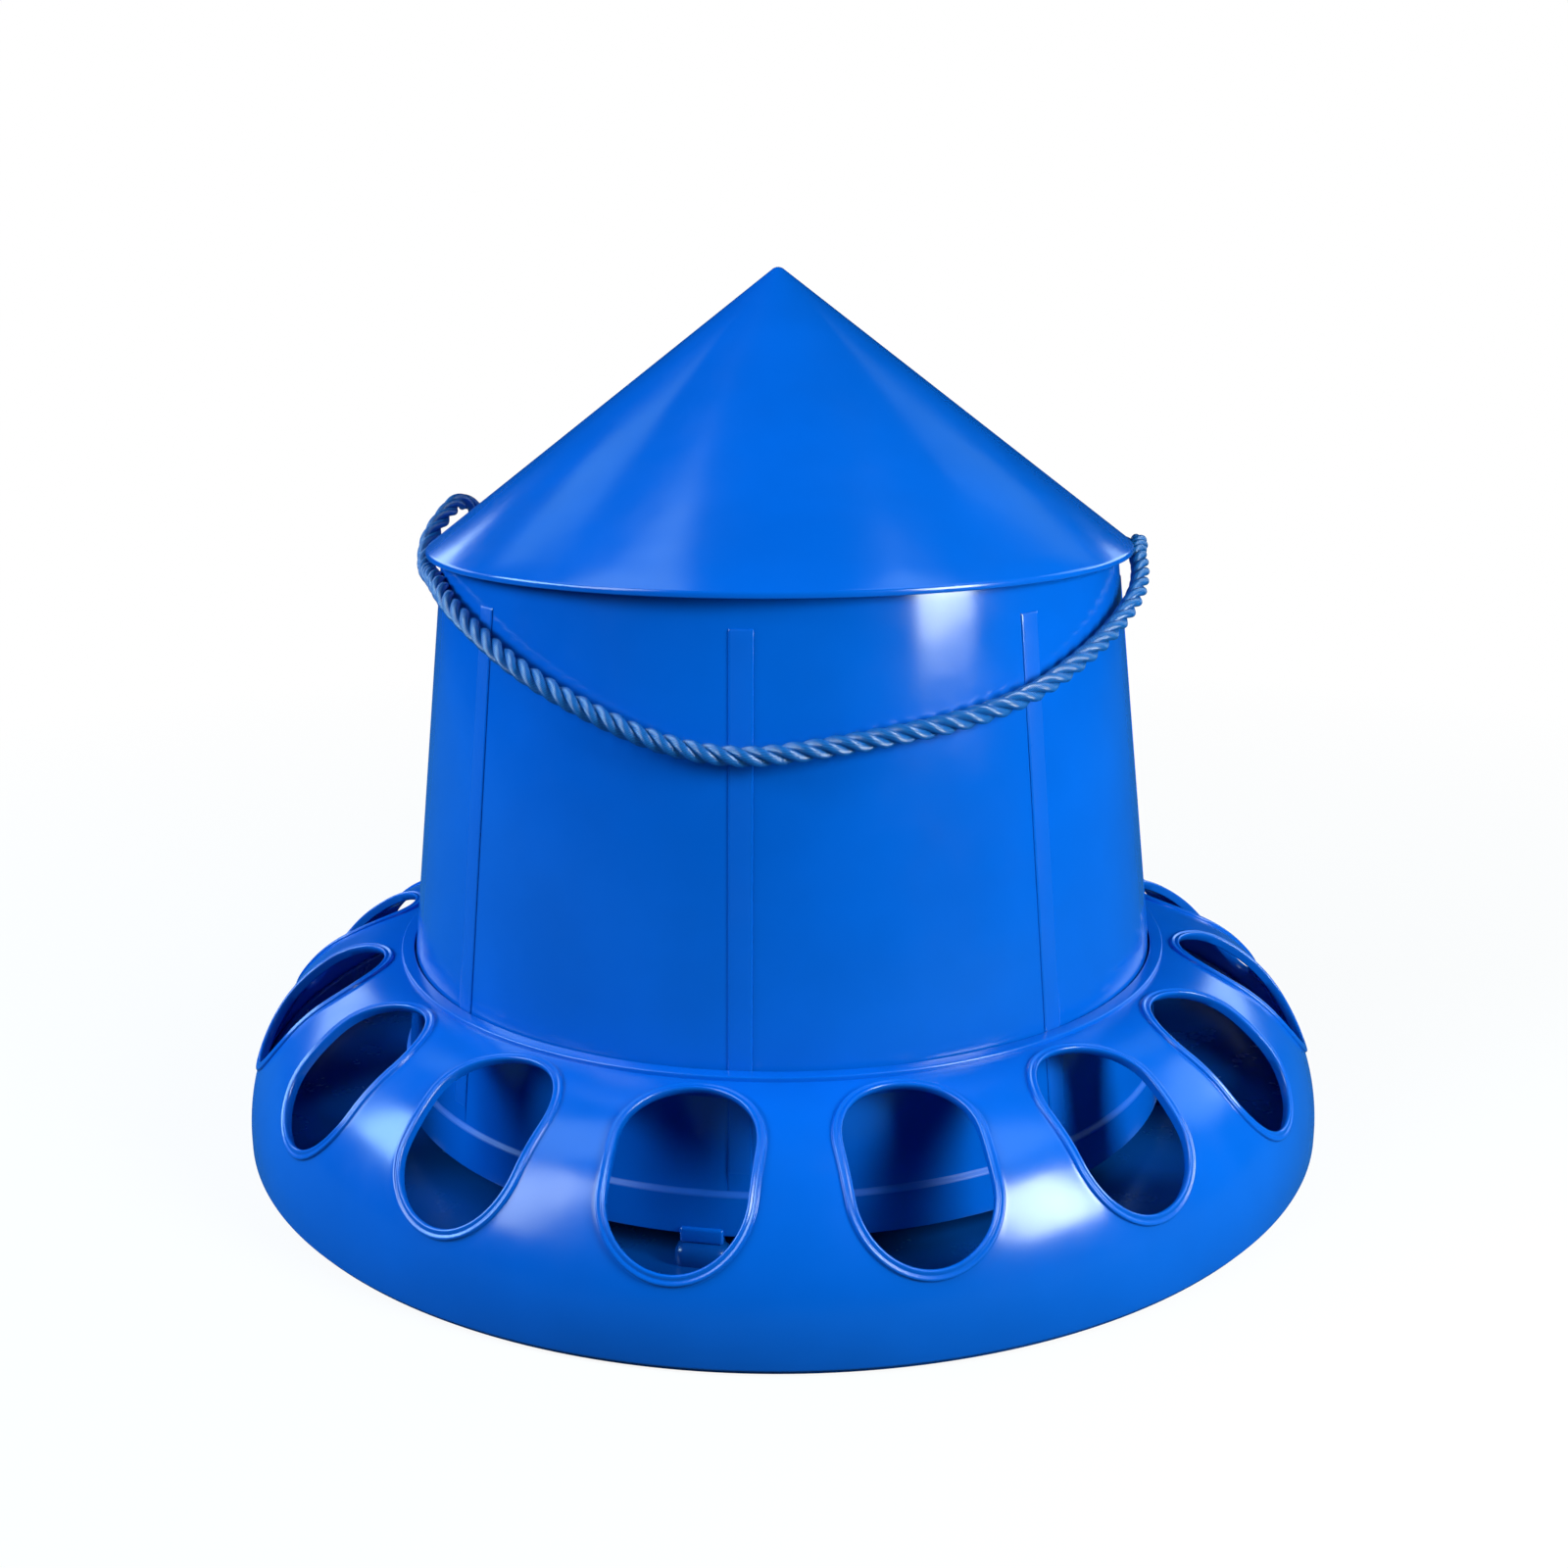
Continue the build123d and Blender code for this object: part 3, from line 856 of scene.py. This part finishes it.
def rope_fibre(name, dark, light):
    """Satin yarns that run a little across each strand. The colour follows the bump's height: painted shade
    in the grooves, painted sheen on the crests.
    """
    material, nodes, links, shader = node_material(name)
    along = nodes.new("ShaderNodeUVMap")
    along.uv_map = "along"
    split = nodes.new("ShaderNodeSeparateXYZ")
    links.new(along.outputs["UV"], split.inputs["Vector"])
    turn = nodes.new("ShaderNodeMath")
    turn.operation = "MULTIPLY_ADD"
    links.new(split.outputs["Y"], turn.inputs[0])
    turn.inputs[1].default_value = 0.11
    links.new(split.outputs["X"], turn.inputs[2])
    yarn = nodes.new("ShaderNodeMath")
    yarn.operation = "MULTIPLY"
    links.new(turn.outputs["Value"], yarn.inputs[0])
    yarn.inputs[1].default_value = 18 * 2 * pi
    wave = nodes.new("ShaderNodeMath")
    wave.operation = "SINE"
    links.new(yarn.outputs["Value"], wave.inputs[0])
    coords = nodes.new("ShaderNodeTexCoord").outputs["Object"]
    speck = noise(nodes, links, coords, 1600.0, 3.0)
    height = nodes.new("ShaderNodeMath")
    height.operation = "MULTIPLY_ADD"
    links.new(speck, height.inputs[0])
    height.inputs[1].default_value = 1.2
    links.new(wave.outputs["Value"], height.inputs[2])
    bump = nodes.new("ShaderNodeBump")
    bump.inputs["Strength"].default_value = 0.9
    bump.inputs["Distance"].default_value = 0.00005
    links.new(height.outputs["Value"], bump.inputs["Height"])
    links.new(bump.outputs["Normal"], shader.inputs["Normal"])
    # Painted shade and sheen: the base colour is dark where the yarn bump is low and light where it is high.
    tint = ramp(nodes, links, height.outputs["Value"], -0.6, 1.8, 0.0, 1.0)
    links.new(colour_mix(nodes, links, tint, dark, light), shader.inputs["Base Color"])
    shader.inputs["Roughness"].default_value = 0.25
    shader.inputs["IOR"].default_value = 1.8
    return material


BLUE_DARK = (0.0003, 0.098, 0.51)
BLUE_LIGHT = (0.0005, 0.108, 0.56)
# Painted shade: the pan is the same plastic as the rest, made darker all over so that its floor, seen
# through the openings, lies dim.
PAN_SHADED_DARK = (0.0003, 0.052, 0.26)
PAN_SHADED_LIGHT = (0.0005, 0.060, 0.30)
# The rope's two colours: the dark one is painted shade in the yarn grooves, the light one painted sheen on
# their crests.
ROPE_DARK = (0.001, 0.040, 0.18)
ROPE_LIGHT = (0.010, 0.175, 0.58)
plastic_lid = plastic("lid_plastic", BLUE_DARK, BLUE_LIGHT, 0.17)
plastic_body = plastic("body_plastic", BLUE_DARK, BLUE_LIGHT, 0.15)
plastic_ring = plastic("ring_plastic", BLUE_DARK, BLUE_LIGHT, 0.21)
plastic_strip = plastic("strip_plastic", BLUE_DARK, BLUE_LIGHT, 0.30)
plastic_ledge = plastic("ledge_plastic", BLUE_DARK, BLUE_LIGHT, 0.50)
plastic_pan_painted_shade = plastic("pan_plastic_painted_shade", PAN_SHADED_DARK, PAN_SHADED_LIGHT, 0.25)
rope_material = rope_fibre("rope_fibre", ROPE_DARK, ROPE_LIGHT)


def dress(obj, material, node):
    """Gives the piece its material, if it has none of its own, and its place in the frame."""
    if not obj.data.materials:
        obj.data.materials.append(material)
    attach(obj, "root")
    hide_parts(node)


lid = make_lid()
dress(lid, plastic_lid, "lid")
hopper = make_hopper()
dress(hopper, plastic_body, "hopper")
ring = make_ring()
dress(ring, plastic_ring, "feeding_ring")
pan = make_pan()
dress(pan, plastic_pan_painted_shade, "pan")
rope, rope_path, rope_length = make_rope()
dress(rope, rope_material, "rope_handle")
for knot_name in ("knot_left", "knot_right"):
    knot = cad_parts[knot_name]
    knot.data.materials.clear()
    knot.data.materials.append(rope_material)

# The floor, the lamps and the world
FLOOR_SIZE = 12.0
FLOOR_DROP = 0.0001  # keeps the floor from coinciding with the feeder's flat underside
FLOOR_CORNERS = [(-1, -1), (1, -1), (1, 1), (-1, 1)]
# The camera sees a white floor. The feeder is lit by a dark, bluish one, so that no red comes from below.
FLOOR_WHITE = (0.8, 0.8, 0.8)
FLOOR_DARK = (0.05, 0.14, 0.17)
# The floor glows a little less near the feeder, which leaves room for its shadow.
SHADE_REACH = 0.25
SHADE_END = 0.9
GLOW_NEAR = 0.90
GLOW_FAR = 1.0
floor_mesh = bpy.data.meshes.new("floor")
half_floor = FLOOR_SIZE / 2
corners = [(x * half_floor, y * half_floor, -FLOOR_DROP) for x, y in FLOOR_CORNERS]
floor_mesh.from_pydata(corners, [], [(0, 1, 2, 3)])
floor = bpy.data.objects.new("floor", floor_mesh)
bpy.context.scene.collection.objects.link(floor)

floor_material = bpy.data.materials.new("floor_white")
floor_material.use_nodes = True
tree = floor_material.node_tree
tree.nodes.clear()
output = tree.nodes.new("ShaderNodeOutputMaterial")
matt = tree.nodes.new("ShaderNodeBsdfDiffuse")
glow = tree.nodes.new("ShaderNodeEmission")
glow.inputs["Color"].default_value = (1, 1, 1, 1)
glow.inputs["Strength"].default_value = 1.0
path_kind = tree.nodes.new("ShaderNodeLightPath")
shade = colour_mix(tree.nodes, tree.links, path_kind.outputs["Is Camera Ray"], FLOOR_DARK, FLOOR_WHITE)
tree.links.new(shade, matt.inputs["Color"])
reach = tree.nodes.new("ShaderNodeVectorMath")
reach.operation = "LENGTH"
tree.links.new(tree.nodes.new("ShaderNodeTexCoord").outputs["Object"], reach.inputs[0])
fade = ramp(tree.nodes, tree.links, reach.outputs["Value"], SHADE_REACH, SHADE_END, GLOW_NEAR, GLOW_FAR)
share = tree.nodes.new("ShaderNodeMath")
share.operation = "MULTIPLY"
tree.links.new(path_kind.outputs["Is Camera Ray"], share.inputs[0])
tree.links.new(fade, share.inputs[1])
mix = tree.nodes.new("ShaderNodeMixShader")
tree.links.new(share.outputs["Value"], mix.inputs["Fac"])
tree.links.new(matt.outputs["BSDF"], mix.inputs[1])
tree.links.new(glow.outputs["Emission"], mix.inputs[2])
tree.links.new(mix.outputs["Shader"], output.inputs["Surface"])
floor.data.materials.append(floor_material)


def lamp_toward(name, aim, azimuth, elevation, distance, size, power, colour=(1, 1, 1)):
    """A soft lamp seen from aim at an azimuth from the front and an elevation, in degrees."""
    a, e = radians(azimuth), radians(elevation)
    away = Vector((sin(a) * cos(e), -cos(a) * cos(e), sin(e)))
    data = bpy.data.lights.new(name, "AREA")
    data.shape = "RECTANGLE"
    data.size, data.size_y = size
    data.energy = power
    data.color = colour
    obj = bpy.data.objects.new(name, data)
    bpy.context.scene.collection.objects.link(obj)
    obj.location = Vector(aim) + away * distance
    obj.rotation_euler = (-away).to_track_quat("-Z", "Y").to_euler()


# Each lamp has a tint. The cooler it is, the purer its reflection leaves the blue plastic.
KEY = (0.85, 1.0, 1.0)
PALE = (0.45, 0.78, 1.0)
STREAK = (0.45, 1.0, 0.9)
BACKDROP = (0.60, 0.85, 1.0)
lamp_toward("softbox_right", (0.05, -0.14, 0.13), 54, 23.5, 0.64, (0.24, 0.33), 6.3, KEY)
lamp_toward("softbox_left", (-0.08, -0.15, 0.05), -62, 37, 1.5, (0.45, 0.95), 10.5, KEY)
lamp_toward("fill_right", (0, 0, 0.12), 108, 25, 1.5, (0.7, 0.5), 2.6, PALE)
lamp_toward("fill_left", (0, 0, 0.12), -85, 27, 1.5, (0.8, 0.5), 19, PALE)
lamp_toward("fill_top_right", (0, 0, 0.15), 75, 62, 1.6, (0.7, 0.7), 3.6, PALE)
lamp_toward("fill_top_left", (0, 0, 0.15), -90, 62, 1.6, (0.7, 0.7), 4.4, PALE)
lamp_toward("softbox_back_right", (0.06, -0.06, 0.25), 141, 36, 1.6, (0.30, 0.60), 0.2, STREAK)
lamp_toward("softbox_back_left", (-0.06, -0.06, 0.25), -141, 41, 1.6, (0.30, 0.42), 0.3, STREAK)
lamp_toward("backdrop_right", (0, 0, 0.06), 125, 18, 1.6, (1.0, 0.35), 4, BACKDROP)
lamp_toward("backdrop_left", (0, 0, 0.06), -130, 20, 1.6, (1.0, 0.35), 4, BACKDROP)

# The background is white for the camera and a faint cool glow for everything else.
WORLD_TINT = (0.06, 0.72, 1.0)
WORLD_GLOW = 0.028
world = bpy.data.worlds.new("studio")
bpy.context.scene.world = world
world.use_nodes = True
tree = world.node_tree
tree.nodes.clear()
output = tree.nodes.new("ShaderNodeOutputWorld")
background = tree.nodes.new("ShaderNodeBackground")
seen = tree.nodes.new("ShaderNodeBackground")
background.inputs["Color"].default_value = (*WORLD_TINT, 1)
background.inputs["Strength"].default_value = WORLD_GLOW
seen.inputs["Color"].default_value = (1, 1, 1, 1)
seen.inputs["Strength"].default_value = 1.0
path_kind = tree.nodes.new("ShaderNodeLightPath")
mix = tree.nodes.new("ShaderNodeMixShader")
tree.links.new(path_kind.outputs["Is Camera Ray"], mix.inputs["Fac"])
tree.links.new(background.outputs["Background"], mix.inputs[1])
tree.links.new(seen.outputs["Background"], mix.inputs[2])
tree.links.new(mix.outputs["Shader"], output.inputs["Surface"])

bpy.context.scene.view_settings.view_transform = "Standard"
